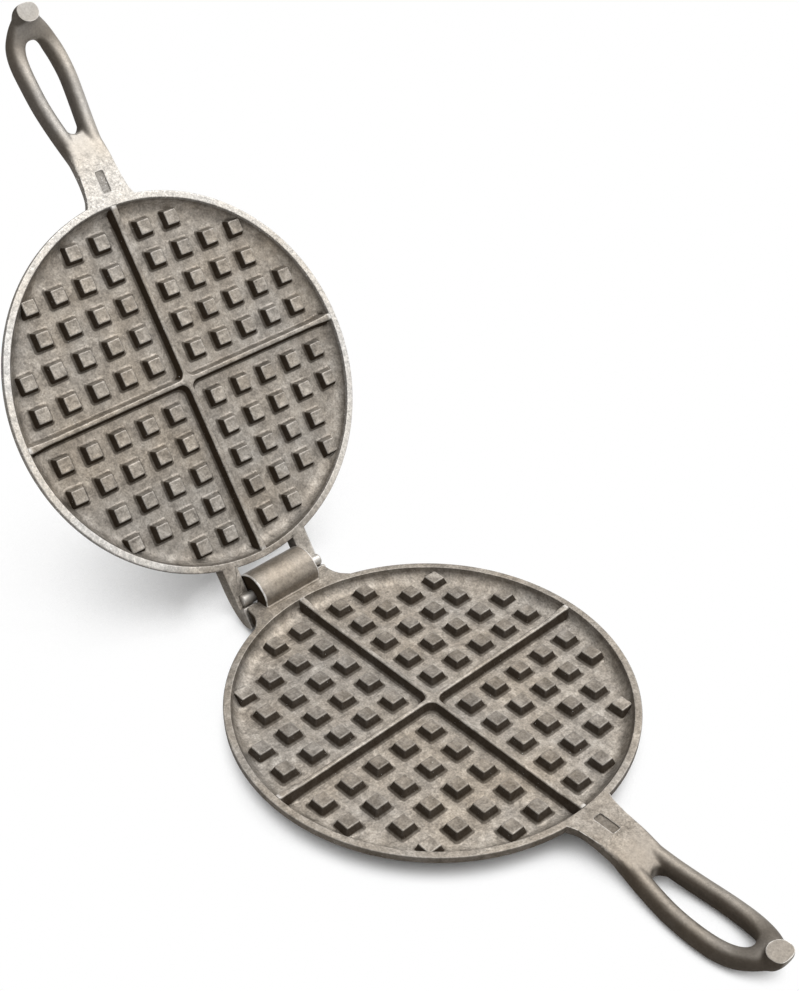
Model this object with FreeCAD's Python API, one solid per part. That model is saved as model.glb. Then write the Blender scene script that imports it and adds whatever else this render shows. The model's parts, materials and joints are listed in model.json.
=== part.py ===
import FreeCAD, Part
import math
import os
from FreeCAD import Vector, Placement, Rotation

# Two-half hinged waffle iron for the stove top or a fire, standing open.
# Each half is drawn lying flat: x runs from the hinge towards the handle, y across,
# z = 0 is the plane through the hinge axis where the two halves meet, metal lies below it.

# waffle grid
STUD_TOP = 6.7
STUD_BASE = 9.6
STUD_CHANNEL = 6.4
STUD_DROP = 1.9
STUD_MARGIN = 4.5
RIB_TOP = 2.0
RIB_BASE = 5.0
RIB_CHANNEL = 5.2
RIB_DROP = 1.5
RIB_CROSSING = 4.0

# round plate
RIM_OUTER = 94.4
RIM_LAND = 3.5
RIM_EDGE = 2.8
RIM_EASE = 0.5
WALL_DRAFT = 2.4
FLOOR_DEPTH = 6.1
FLOOR_EASE = 1.6
FLOOR_THICK = 5.4
REST_INSET = 10.4
REST_EASE = 1.8
REST_RING = 14.0
REST_RECESS = 1.8
ROOT_DEPTH = 0.5

# loop handle
NECK_LENGTH = 17.6
NECK_HALF = 10.8
NECK_FLARE = 6.0
NECK_THICK = 7.1
LOOP_LENGTH = 74.0
LOOP_HALF = 10.8
LOOP_DEPTH = 9.1
ROD_RADIUS = 4.0
HOLE_START = 21.2
CROTCH_ROUND = 3.6
NUB_ALONG = 9.6
NUB_ACROSS = 11.2
NUB_LEAN = 3.8
NUB_ROOT = 0.75
PANEL_START = 3.6
PANEL_LENGTH = 10.0
PANEL_WIDTH = 4.2
PANEL_DEPTH = 1.0
PANEL_ROUND = 0.8

# lift-apart hinge
HINGE_OFFSET = 14.0
PIN_RADIUS = 3.0
ARM_INNER = 17.5
ARM_WIDTH = 8.5
ARM_THICK = 7.5
HEEL_REACH = 13.8
HEEL_RISE = 3.9
HEEL_FRONT_ROUND = 0.8
HEEL_BACK_ROUND = 2.0
HOOK_WALL = 8.9
HOOK_LEG = 4.1
HOOK_BLEND = 1.5
HOOK_TOE = 2.0
HOOK_EASE = 0.7
OPEN_ANGLE = 125.5

# clearances
MEET_GAP = 0.15
PIN_GAP = 0.4
HOOK_SIDE_GAP = 0.7
STOP_GAP = 0.35

PITCH = STUD_BASE + STUD_CHANNEL
FIRST_STUD = (RIB_BASE + STUD_BASE) / 2 + RIB_CHANNEL
RIM_INNER = RIM_OUTER - RIM_LAND
REST_RADIUS = RIM_OUTER - REST_INSET
LOOP_START = RIM_OUTER + NECK_LENGTH
HINGE_REACH = RIM_OUTER + HINGE_OFFSET
ARM_OUTER = ARM_INNER + ARM_WIDTH
HOOK_BORE = PIN_RADIUS + PIN_GAP
HOOK_RADIUS = HOOK_BORE + HOOK_WALL
HOOK_HALF = ARM_INNER - HOOK_SIDE_GAP
FACE = -MEET_GAP
FLOOR = -FLOOR_DEPTH
FIELD = FLOOR - FLOOR_THICK
REST = FIELD - REST_RECESS
ROOT = FLOOR - ROOT_DEPTH


def point(x, z):
    return Vector(x, 0, z)


def line(a, b):
    return Part.makeLine(a, b)


def arc(a, middle, b):
    return Part.Arc(a, middle, b).toShape()


def face_of(edges):
    return Part.Face(Part.Wire(Part.__sortEdges__(edges)))


def side_solid(edges, y0, y1):
    # a side view drawn in x and z, given width from y0 to y1
    return face_of(edges).translated(Vector(0, y0, 0)).extrude(Vector(0, y1 - y0, 0))


def polar(cx, cz, radius, degrees):
    turn = math.radians(degrees)
    return point(cx + radius * math.cos(turn), cz + radius * math.sin(turn))


def corner_arc(cx, cz, radius, start, end):
    # round stretch of a side view about (cx, cz), from one angle to another
    spots = [polar(cx, cz, radius, turn) for turn in (start, (start + end) / 2, end)]
    return arc(*spots)


def plate():
    # shallow pan turned about the plate centre: floor, drafted wall, rim land, thin lip, sloped back
    foot = RIM_INNER - WALL_DRAFT
    lean = math.atan2(WALL_DRAFT, FACE - FLOOR)
    lip = FACE - RIM_EDGE
    ring_inner = REST_RADIUS - REST_RING
    corners = [
        (0, FLOOR),
        (foot - FLOOR_EASE, FLOOR),
        (foot + FLOOR_EASE * math.sin(lean), FLOOR + FLOOR_EASE * math.cos(lean)),
        (RIM_INNER, FACE),
        (RIM_OUTER - RIM_EASE, FACE),
        (RIM_OUTER, FACE - RIM_EASE),
        (RIM_OUTER - RIM_EASE / 2, lip),
        (RIM_OUTER - 3 * RIM_EASE, lip - 2 * RIM_EASE),
        (REST_RADIUS + REST_EASE, REST + REST_EASE),
        (REST_RADIUS, REST),
        (ring_inner, REST),
        (ring_inner - REST_RECESS, FIELD),
        (0, FIELD),
    ]
    outline = Part.makePolygon([point(x, z) for x, z in corners + corners[:1]])
    return Part.Face(outline).revolve(Vector(0, 0, 0), Vector(0, 0, 1), 360)


def studs():
    # tapered square studs in four quadrants, as many as the round floor takes
    high = -STUD_DROP
    base = STUD_BASE / 2 + (STUD_BASE - STUD_TOP) / 2 / (high - FLOOR) * ROOT_DEPTH
    top = STUD_TOP / 2
    stud = Part.makeWedge(-base, ROOT, -base, -top, -top, base, high, base, top, top)
    stud = stud.rotated(Vector(0, 0, 0), Vector(1, 0, 0), 90)
    limit = RIM_INNER - STUD_MARGIN
    steps = int((limit - FIRST_STUD) / PITCH) + 1
    places = [FIRST_STUD + PITCH * step for step in range(steps)]
    made = []
    for x in places:
        for y in places:
            if math.hypot(x, y) <= limit:
                for sx in (-1, 1):
                    for sy in (-1, 1):
                        made.append(stud.translated(Vector(sx * x, sy * y, 0)))
    return made


def inside_wall():
    # the room a stud or rib may fill: up to the middle of the drafted wall and a little into the floor
    slope = WALL_DRAFT / FLOOR_DEPTH
    foot = RIM_INNER - WALL_DRAFT + RIM_LAND / 4 - slope * ROOT_DEPTH
    return Part.makeCone(foot, foot - slope * ROOT, -ROOT, Vector(0, 0, ROOT))


def ribs():
    # the cross that parts the four quadrants, tapered in section, with round corners where it crosses
    high = -RIB_DROP
    grow = (RIB_BASE - RIB_TOP) / 2 / (high - FLOOR) * ROOT_DEPTH
    half_low = RIB_BASE / 2 + grow
    half_high = RIB_TOP / 2
    corners = [(-half_low, ROOT), (half_low, ROOT), (half_high, high), (-half_high, high)]
    section = Part.makePolygon([Vector(-RIM_INNER, y, z) for y, z in corners + corners[:1]])
    along = Part.Face(section).extrude(Vector(2 * RIM_INNER, 0, 0))
    across = along.rotated(Vector(0, 0, 0), Vector(0, 0, 1), 90)
    reach = half_high + RIB_CROSSING
    swell = half_low - half_high
    star_top = crossing_wire(half_high, reach, high)
    star_low = crossing_wire(half_low, reach + swell, ROOT)
    return [along, across, Part.makeLoft([star_low, star_top], True, True)]


def crossing_wire(half, reach, z):
    edges = []
    bend = reach - (reach - half) * math.sqrt(0.5)
    for quarter in range(4):
        turn = Rotation(Vector(0, 0, 1), 90 * quarter)
        start = Vector(reach, half, z)
        end = Vector(half, reach, z)
        edges.append(line(turn.multVec(Vector(reach, -half, z)), turn.multVec(start)))
        edges.append(arc(turn.multVec(start), turn.multVec(Vector(bend, bend, z)), turn.multVec(end)))
    return Part.Wire(edges)


def neck():
    # flat land level with the rim, flared where it leaves the plate, then dipping to meet the loop
    back = RIM_INNER - NECK_FLARE
    end = LOOP_START + HOLE_START
    wide = NECK_HALF + NECK_FLARE
    crown = ROD_RADIUS - LOOP_DEPTH
    keel = -LOOP_DEPTH - ROD_RADIUS / 2
    side_view = side_solid(neck_side(back, end, crown, keel), -wide, wide)
    depth = Vector(0, 0, FACE - keel)
    plan_view = face_of(neck_plan(back, end, wide)).translated(Vector(0, 0, keel)).extrude(depth)
    corners = [(wide, FACE), (CROTCH_ROUND, keel), (-CROTCH_ROUND, keel), (-wide, FACE)]
    outline = Part.makePolygon([Vector(back, y, z) for y, z in corners + corners[:1]])
    front_view = Part.Face(outline).extrude(Vector(end - back, 0, 0))
    return side_view.common(plan_view).common(front_view)


def neck_side(back, end, crown, keel):
    under = FACE - NECK_THICK
    middle = LOOP_START + HOLE_START / 2
    level = FACE + (crown - FACE) * 0.62
    spots = [point(middle, level), point(end, crown), point(end, keel), point(RIM_OUTER, under),
             point(back, under), point(back, FACE), point(LOOP_START, FACE)]
    edges = [line(a, b) for a, b in zip(spots, spots[1:])]
    shoulder = point(LOOP_START + HOLE_START / 4, FACE + (level - FACE) * 0.4)
    edges.append(arc(spots[-1], shoulder, spots[0]))
    return edges


def neck_plan(back, end, wide):
    # hollow flares into the rim at one end, narrowing to the two rods and the round crotch at the other
    edges = [line(Vector(back, -wide, 0), Vector(back, wide, 0))]
    for side in (-1, 1):
        spots = [
            Vector(back, side * wide, 0),
            Vector(RIM_OUTER, side * (NECK_HALF + NECK_FLARE * 0.36), 0),
            Vector(LOOP_START, side * NECK_HALF, 0),
            Vector(end, side * LOOP_HALF * 0.79, 0),
            Vector(end, side * CROTCH_ROUND, 0),
        ]
        edges.append(arc(*spots[:3]))
        edges.append(line(spots[2], spots[3]))
        edges.append(line(spots[3], spots[4]))
    crotch = [Vector(end, y, 0) for y in (-CROTCH_ROUND, CROTCH_ROUND)]
    edges.append(arc(crotch[0], Vector(end - CROTCH_ROUND, 0, 0), crotch[1]))
    return edges


def loop():
    # round rod round a long drop in short mitred runs, lowest and widest in the grip, rising to the tip
    side = [
        (0.0, 0.44, 0.49), (0.29, 0.78, 0.84), (0.46, 0.93, 0.98), (0.62, 1.0, 1.0),
        (0.76, 0.97, 0.99), (0.875, 0.78, 0.9), (0.96, 0.45, 0.74), (1.0, 0.0, 0.63),
    ]
    there = []
    for along, out, low in side:
        there.append(Vector(LOOP_START + LOOP_LENGTH * along, LOOP_HALF * out, -LOOP_DEPTH * low))
    back = [Vector(spot.x, -spot.y, spot.z) for spot in reversed(there[:-1])]
    start = Part.Circle(there[0], there[1] - there[0], ROD_RADIUS).toShape()
    return Part.makePolygon(there + back).makePipeShell([Part.Wire(start)], True, False, 1)


def nub():
    # short oval post leaning forward from the tip of the loop, its flat end meets the one on the other half
    oval = Part.Ellipse(Vector(0, 0, 0), NUB_ACROSS / 2, NUB_ALONG / 2).toShape()
    foot = Vector(LOOP_START + LOOP_LENGTH, 0, -LOOP_DEPTH * NUB_ROOT)
    oval.Placement = Placement(foot, Rotation(Vector(0, 0, 1), 90))
    return Part.Face(Part.Wire(oval)).extrude(Vector(NUB_LEAN, 0, FACE - foot.z))


def panel():
    # bare shallow panel sunk in the flat of the neck
    corner = Vector(RIM_OUTER + PANEL_START, -PANEL_WIDTH / 2, FACE - PANEL_DEPTH)
    block = Part.makeBox(PANEL_LENGTH, PANEL_WIDTH, 2 * PANEL_DEPTH, corner)
    upright = [e for e in block.Edges if abs(e.tangentAt(e.FirstParameter).z) > 0.9]
    return block.makeFillet(PANEL_ROUND, upright)


def half_plate():
    blank = plate().fuse([neck(), loop(), nub()])
    room = inside_wall()
    grid = [piece.common(room) for piece in studs() + ribs()]
    return blank.fuse(grid).cut(panel())


def hinge_arm(y0):
    # arm with a rounded heel behind the pin; the top of the heel is the stop
    under = -ARM_THICK
    front = -PIN_RADIUS
    front_z = HEEL_RISE - HEEL_FRONT_ROUND
    back_z = HEEL_RISE - HEEL_BACK_ROUND
    back_x = HEEL_BACK_ROUND - HEEL_REACH
    swing = back_z - under
    swing_x = swing - HEEL_REACH
    root = HINGE_REACH - RIM_INNER + RIM_LAND
    outline = [
        line(point(root, FACE), point(front, FACE)),
        line(point(front, FACE), point(front, front_z)),
        corner_arc(front - HEEL_FRONT_ROUND, front_z, HEEL_FRONT_ROUND, 0, 90),
        line(point(front - HEEL_FRONT_ROUND, HEEL_RISE), point(back_x, HEEL_RISE)),
        corner_arc(back_x, back_z, HEEL_BACK_ROUND, 90, 180),
        corner_arc(swing_x, back_z, swing, 180, 270),
        line(point(swing_x, under), point(root, under)),
        line(point(root, under), point(root, FACE)),
    ]
    return side_solid(outline, y0, y0 + ARM_WIDTH)


def hinge_rod(radius):
    # round bar along the hinge axis, as long as the hinge is wide
    return Part.makeCylinder(radius, 2 * ARM_OUTER, Vector(0, -ARM_OUTER, 0), Vector(0, 1, 0))


def stop_line(z):
    # where the stop end of a lug stands at height z, leaning with the heel of the open half
    lean = math.radians(OPEN_ANGLE)
    return (HEEL_RISE + STOP_GAP + z * math.cos(lean)) / math.sin(lean)


def hinge_pad():
    # pad level with the rim, its two lugs end on the slant that the heels come to rest against
    under = -ARM_THICK
    root = HINGE_REACH - RIM_INNER + 2 * RIM_LAND
    corners = [(root, FACE), (stop_line(FACE), FACE), (stop_line(under), under), (root, under)]
    outline = Part.makePolygon([Vector(x, -ARM_OUTER, z) for x, z in corners + corners[:1]])
    return Part.Face(outline).extrude(Vector(0, 2 * ARM_OUTER, 0))


def hinge_hook():
    # hook over the pin: arch, free leg behind, slot open below, root standing level with the rest face
    leg_round = HOOK_WALL / 2
    leg_x = -HOOK_BORE - leg_round
    under_rim = HINGE_REACH - RIM_OUTER + RIM_LAND / 2
    root = HINGE_REACH - REST_RADIUS + REST_RING / 3
    inside = (FLOOR + FIELD) / 2
    blend_z = FACE + HOOK_BLEND
    blend_x = math.sqrt((HOOK_RADIUS + HOOK_BLEND) ** 2 - blend_z ** 2)
    turn = math.degrees(math.atan2(blend_z, blend_x))
    outline = [
        line(point(HOOK_BORE, 0), point(HOOK_BORE, REST + HOOK_TOE)),
        corner_arc(HOOK_BORE + HOOK_TOE, REST + HOOK_TOE, HOOK_TOE, 180, 270),
        line(point(HOOK_BORE + HOOK_TOE, REST), point(root, REST)),
        line(point(root, REST), point(root, inside)),
        line(point(root, inside), point(under_rim, inside)),
        line(point(under_rim, inside), point(under_rim, FACE)),
        line(point(under_rim, FACE), point(blend_x, FACE)),
        corner_arc(blend_x, blend_z, HOOK_BLEND, 180 + turn, 270),
        corner_arc(0, 0, HOOK_RADIUS, turn, 180),
        line(point(-HOOK_RADIUS, 0), point(-HOOK_RADIUS, -HOOK_LEG)),
        corner_arc(leg_x, -HOOK_LEG, leg_round, 180, 360),
        line(point(-HOOK_BORE, -HOOK_LEG), point(-HOOK_BORE, 0)),
        corner_arc(0, 0, HOOK_BORE, 0, 180),
    ]
    hook = side_solid(outline, -HOOK_HALF, HOOK_HALF)
    rims = [edge for edge in hook.Edges if on_hook_end(edge)]
    return hook.makeChamfer(HOOK_EASE, rims)


def on_hook_end(edge):
    # outer edges of the arch and the free leg at the two ends of the hook
    middle = edge.valueAt((edge.FirstParameter + edge.LastParameter) / 2)
    at_end = abs(abs(middle.y) - HOOK_HALF) < 1e-6
    outside = math.hypot(middle.x, middle.z) > HOOK_RADIUS - 0.01 and middle.x < HOOK_RADIUS / 2
    return at_end and outside and middle.z > -HOOK_LEG


def at_hinge(shape):
    return shape.translated(Vector(-HINGE_REACH, 0, 0))


def lower_half():
    hinge = [at_hinge(hinge_pad()), at_hinge(hinge_hook())]
    pin_room = at_hinge(hinge_rod(HOOK_BORE))
    return half_plate().fuse(hinge).cut(pin_room).removeSplitter()


def upper_half():
    arms = [at_hinge(hinge_arm(ARM_INNER)), at_hinge(hinge_arm(-ARM_OUTER))]
    return half_plate().fuse(arms).cut(at_hinge(hinge_rod(PIN_RADIUS))).removeSplitter()


def opened(shape):
    # turn a half face down onto the other, then swing it back about the hinge axis
    axis = Vector(-HINGE_REACH, 0, 0)
    flipped = shape.rotated(Vector(0, 0, 0), Vector(1, 0, 0), 180)
    return flipped.rotated(axis, Vector(0, 1, 0), -OPEN_ANGLE)


def standing(shape):
    return shape.translated(Vector(0, 0, -REST))


pieces = {
    "lower_half": standing(lower_half()),
    "upper_half": standing(opened(upper_half())),
    "hinge_pin": standing(opened(at_hinge(hinge_rod(PIN_RADIUS)))),
}

os.makedirs("parts", exist_ok=True)
for name, shape in pieces.items():
    solids = shape.Solids
    if len(solids) == 1:
        shape = solids[0]
    shape.exportStep("parts/" + name + ".step")
    print(name, len(solids), shape.isValid(), round(shape.Volume / 1000, 2), shape.BoundBox)
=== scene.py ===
import json
import math
import random

import bmesh
import bpy
from mathutils import Euler, Matrix, Vector


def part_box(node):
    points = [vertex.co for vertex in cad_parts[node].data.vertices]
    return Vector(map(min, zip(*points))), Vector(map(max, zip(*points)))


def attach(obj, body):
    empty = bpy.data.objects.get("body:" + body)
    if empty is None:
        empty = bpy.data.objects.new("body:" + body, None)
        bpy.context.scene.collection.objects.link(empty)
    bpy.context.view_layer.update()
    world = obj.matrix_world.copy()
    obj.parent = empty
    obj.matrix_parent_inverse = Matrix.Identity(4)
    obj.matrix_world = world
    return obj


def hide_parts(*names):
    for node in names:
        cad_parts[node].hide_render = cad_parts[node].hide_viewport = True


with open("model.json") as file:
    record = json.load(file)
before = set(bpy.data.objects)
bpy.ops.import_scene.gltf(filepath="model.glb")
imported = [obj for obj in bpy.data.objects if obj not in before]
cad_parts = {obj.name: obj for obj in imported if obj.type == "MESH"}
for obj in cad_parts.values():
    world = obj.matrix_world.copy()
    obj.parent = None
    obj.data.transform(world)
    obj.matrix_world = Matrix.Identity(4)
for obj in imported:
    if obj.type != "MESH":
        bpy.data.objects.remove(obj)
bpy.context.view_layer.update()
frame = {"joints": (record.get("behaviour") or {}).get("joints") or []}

# Each half is drawn lying flat, in millimetres: x runs from the hinge to the handle, y across,
# z = 0 is the meeting plane through the hinge axis. seat_matrix() then puts it where the frame says.
MM = 0.001
hinge = frame["joints"][0]
HINGE_REACH = -hinge["pos_m"][0] / MM
REST_DEPTH = hinge["pos_m"][2] / MM
OPEN_ANGLE = math.radians(hinge["range_deg"][1])
RIM_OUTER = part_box("lower_half")[1].y / MM
HANDLE_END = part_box("lower_half")[1].x / MM
PIN_RADIUS = (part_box("hinge_pin")[1].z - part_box("hinge_pin")[0].z) / 2 / MM
ARM_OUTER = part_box("hinge_pin")[1].y / MM

# plate: rim, dish wall, floor and resting ring
FACE = -0.15
RIM_LAND = 3.5
RIM_INNER = RIM_OUTER - RIM_LAND
RIM_EASE = 0.6
RIM_EDGE = 2.8
RIM_BELLY = 1.3
RIM_BELLY_SET = 1.4
LAND_START = 1.0
FLAT_EDGE = 3.0
WALL_DRAFT = 2.4
WALL_BITE = 0.9
FLOOR = -6.1
FLOOR_BITE = 0.04
ROOT = FLOOR - 0.6
COVE_RUN = 8.0
COVE_STEPS = 12
COVE_FOOT = RIM_INNER - COVE_RUN
LIP_DROP = 0.5
LIP_LEAN = 22.0
LIP_SET = 0.45
LIP_EASE = 0.4
REST = -REST_DEPTH
REST_RADIUS = RIM_OUTER - 10.4
REST_RING = 14.0
REST_RECESS = 1.8
# ends of the sloping back: in from the rim and below its edge, then out from the ring and above the table
BACK_FROM = (1.8, 1.2)
BACK_TO = (2.6, 1.6)
# eased edges of the resting ring: outwards, and up from the table
REST_FOOT = [(3.4, 2.5), (2.2, 1.3), (1.1, 0.4), (0.0, 0.06), (-1.2, 0.0)]
RECESS_EDGE = [(1.2, 0.0), (0.0, 0.25), (-1.1, 1.3), (-2.0, REST_RECESS - 0.1), (-3.2, REST_RECESS)]

# studs and ribs
STUD_TOP = 6.7
STUD_BASE = 9.8
STUD_DROP = 1.9
STUD_PITCH = 16.0
STUD_FIRST = 12.5
STUD_LIMIT = RIM_INNER - 4.5
STUD_SKIRT = 1.3
STUD_NICK = 0.35
STUD_SINK = 0.16
# how far one stud differs from the next in height, size, turn and place
STUD_RISE = (-0.12, 0.06)
STUD_GROW = (-0.12, 0.14)
STUD_TURN = 1.3
STUD_SLIP = 0.12
# share of the skirt left at each height over the floor, on studs and on ribs
STUD_FOOT = [(0.52, 0.1), (0.2, 0.38), (0.0, 0.9)]
RIB_FOOT = [(0.5, 0.1), (0.18, 0.4), (0.0, 1.0)]
STUD_FOOT_CORNER = 2.0
STUD_CORNER = 1.1
SKIRT_CORNER = 0.7
RIB_TOP = 2.0
RIB_BASE = 5.0
RIB_DROP = 1.5
RIB_SKIRT = 1.1
RIB_EASE = 0.6
# over the top edge of a rib: inwards and down
RIB_EDGE = [(0.0, 0.28), (0.3, 0.06), (0.62, 0.0)]
RIB_CROSSING = 4.0
RIB_RISE = 15.0
RIB_WIDEN = 0.6
RIB_MEET = 0.6
RIB_STEPS = 96

# neck, loop and nub of the handle
NECK_HALF = 10.8
NECK_THICK = 7.1
NECK_BELLY = 0.62
NECK_FLANK = 0.3
LOOP_START = RIM_OUTER + 17.6
LOOP_LENGTH = 74.0
LOOP_HALF = 10.8
LOOP_DEPTH = 9.1
ROD_WIDTH = 10.0
ROD_HEIGHT = 7.9
ROD_STEPS = 24
HOLE_START = 20.4
CROTCH_SET = 1.6
CROTCH_ROUND = 4.0
CROTCH_FLARE = 0.2
CROTCH_SPARE = 0.3
CROTCH_LOW = -25.0
CROTCH_HIGH = 5.0
NUB_ALONG = 9.9
NUB_ACROSS = 11.6
NUB_SQUARE = 0.72
NUB_STEPS = 36
UPPER_NUB = 0.96
PANEL_START = RIM_OUTER + 3.6
PANEL_LENGTH = 10.6
PANEL_WIDTH = 4.2
PANEL_DEPTH = 0.55
PANEL_CORNER = 0.9
PANEL_DRAFT = (0.2, 0.35)
HANDLE_VOXEL = 0.62
HANDLE_SMOOTH = 12

# hinge
ARM_WIDTH = 8.5
ARM_INNER = ARM_OUTER - ARM_WIDTH
ARM_THICK = 7.5
ARM_ROOT = 3.0
ARM_EASE = 0.6
HEEL_REACH = 13.8
HEEL_RISE = 3.9
HEEL_SWEEP = 8.0
HEEL_ROUND = 2.0
HOOK_BORE = PIN_RADIUS + 0.4
HOOK_RADIUS = HOOK_BORE + 8.1
HOOK_HALF = ARM_INNER - 0.7
HOOK_LEG = 4.1
HOOK_FRONT = 11.3
HOOK_TOE = 2.0
HOOK_EASE = 0.8
HOOK_UNDER = 2.0
HOOK_ROOT = 4.0
HOOK_SINK = 3.0
HOOK_CREST = 47
# up the front of the hook: back from its foot, and height
HOOK_SHOULDER = [(0.0, 3.0), (0.25, 4.4), (0.9, 5.8), (1.9, 7.0)]
STOP_GAP = 0.35
PAD_HALF = ARM_OUTER - 1.0
PAD_EASE = 0.5
PAD_ROOT = 5.0
# from the stops to the rim: share of the way, and how much wider the pad is there
PAD_SPREAD = [
    (0.0, -0.7), (0.06, -0.15), (0.14, 0.0), (0.3, 0.25), (0.45, 0.9), (0.6, 2.2), (0.75, 4.6), (1.0, 9.0),
]
PIN_INSET = 2.6
PIN_STEPS = 48
# the headed end of the pin: in from its end, and share of its radius
PIN_END = [(0.0, 0.72), (0.12, 0.88), (0.5, 0.985), (1.0, 1.0)]

BACK_REACH = -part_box("upper_half")[0].x / MM - HINGE_REACH - 0.03
TIP_EASE = 1.5
ROUND_STEPS = 224
CUT_SPARE = 1.2
CUT_REACH = 400.0
CUT_HEIGHT = 30.0
DISH_BITE = 0.8
DISH_SINK = 0.2
DISH_ROOM = 12.0
SHARP_ANGLE = 35
SHADE_ANGLE = 42
PIN_SHADE_ANGLE = 40
WELD = 0.004
SLIVER = 0.002
LAND_INSET = 0.4

draw = random.Random(7)


def polar(cx, cz, radius, degrees):
    turn = math.radians(degrees)
    return cx + radius * math.cos(turn), cz + radius * math.sin(turn)


def arc(cx, cz, radius, start, end, steps=8):
    return [polar(cx, cz, radius, start + (end - start) * k / steps) for k in range(steps + 1)]


def circle(radius, count):
    return arc(0, 0, radius, 0, 360 - 360 / count, count - 1)


def spun(x, y, turn):
    return x * math.cos(turn) - y * math.sin(turn), x * math.sin(turn) + y * math.cos(turn)


def smooth(low, high, value):
    share = min(1.0, max(0.0, (value - low) / (high - low)))
    return share * share * (3 - 2 * share)


def curve_at(t, p, q, r, s):
    # from q at t = 0 to r at t = 1, heading as the neighbours p and s ask
    square = 2 * p - 5 * q + 4 * r - s
    cube = 3 * q - p - 3 * r + s
    return 0.5 * (2 * q + (r - p) * t + square * t * t + cube * t ** 3)


def between(stations, parts):
    # a smooth run of values through the stations
    ends = [stations[0]] + stations + [stations[-1]]
    run = []
    for k in range(len(stations) - 1):
        around = list(zip(*ends[k:k + 4]))
        for part in range(parts):
            run.append([curve_at(part / parts, *values) for values in around])
    return run + [list(stations[-1])]


def piece_from(name, spots, faces):
    mesh = bpy.data.meshes.new(name)
    mesh.from_pydata(spots, [], faces)
    shape = bmesh.new()
    shape.from_mesh(mesh)
    bmesh.ops.recalc_face_normals(shape, faces=shape.faces)
    shape.to_mesh(mesh)
    shape.free()
    made = bpy.data.objects.new(name, mesh)
    bpy.context.scene.collection.objects.link(made)
    return made


def skin(name, stacks):
    # closed skins, each through a stack of rings with the same number of points, joined as one object
    spots, faces = [], []
    for rings in stacks:
        count = len(rings[0])
        first = len(spots)
        for ring in rings:
            spots.extend(ring)
        for level in range(len(rings) - 1):
            low = first + level * count
            for k in range(count):
                after = (k + 1) % count
                faces.append((low + k, low + after, low + count + after, low + count + k))
        faces.append(tuple(range(first + count - 1, first - 1, -1)))
        faces.append(tuple(range(len(spots) - count, len(spots))))
    return piece_from(name, spots, faces)


def turned(profile):
    ring = []
    for radius, z in profile:
        turns = [2 * math.pi * k / ROUND_STEPS for k in range(ROUND_STEPS)]
        ring.append([(radius * math.cos(a), radius * math.sin(a), z) for a in turns])
    return ring


def plate():
    # the floor runs up to the rim in a cove that steepens towards the lip
    rise = FACE - LIP_DROP - FLOOR
    lip = FACE - RIM_EDGE
    ring_inner = REST_RADIUS - REST_RING
    back_rise = lip - BACK_FROM[1] - REST - BACK_TO[1]
    back_run = RIM_OUTER - BACK_FROM[0] - REST_RADIUS - BACK_TO[0]
    back = math.degrees(math.atan2(back_rise, back_run))
    profile = [(COVE_FOOT - FLAT_EDGE, FLOOR)]
    for k in range(COVE_STEPS + 1):
        share = k / COVE_STEPS
        profile.append((COVE_FOOT + COVE_RUN * share, FLOOR + rise * share ** 3))
    profile += arc(RIM_INNER + LIP_SET, FACE - LIP_EASE, LIP_EASE, 180 - LIP_LEAN, 90, 3)
    profile += [(RIM_INNER + LAND_START, FACE), (RIM_OUTER - 2 * RIM_EASE, FACE)]
    profile += arc(RIM_OUTER - RIM_EASE, FACE - RIM_EASE, RIM_EASE, 90, 0, 4)
    profile += arc(RIM_OUTER - RIM_BELLY_SET, lip, RIM_BELLY, 0, -90 + back / 2, 4)
    profile += [(REST_RADIUS + out, REST + up) for out, up in REST_FOOT]
    profile += [(ring_inner + out, REST + up) for out, up in RECESS_EDGE]
    return skin("plate", [turned(profile)])


def rounded_square(half, corner, steps=3):
    reach = half - corner
    ring = []
    for quarter in range(4):
        start = 90 * quarter
        sx, sy = polar(0, 0, 1, start + 45)
        cx, cy = math.copysign(reach, sx), math.copysign(reach, sy)
        ring += arc(cx, cy, corner, start, start + 90, steps)
    return ring


def held_in_wall(x, y, z):
    # what would reach past the drafted wall ends inside its metal
    room = RIM_INNER - WALL_DRAFT * (FACE - z) / (FACE - FLOOR) + WALL_BITE
    radius = math.hypot(x, y)
    share = min(1.0, room / radius)
    return x * share, y * share, z


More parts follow.
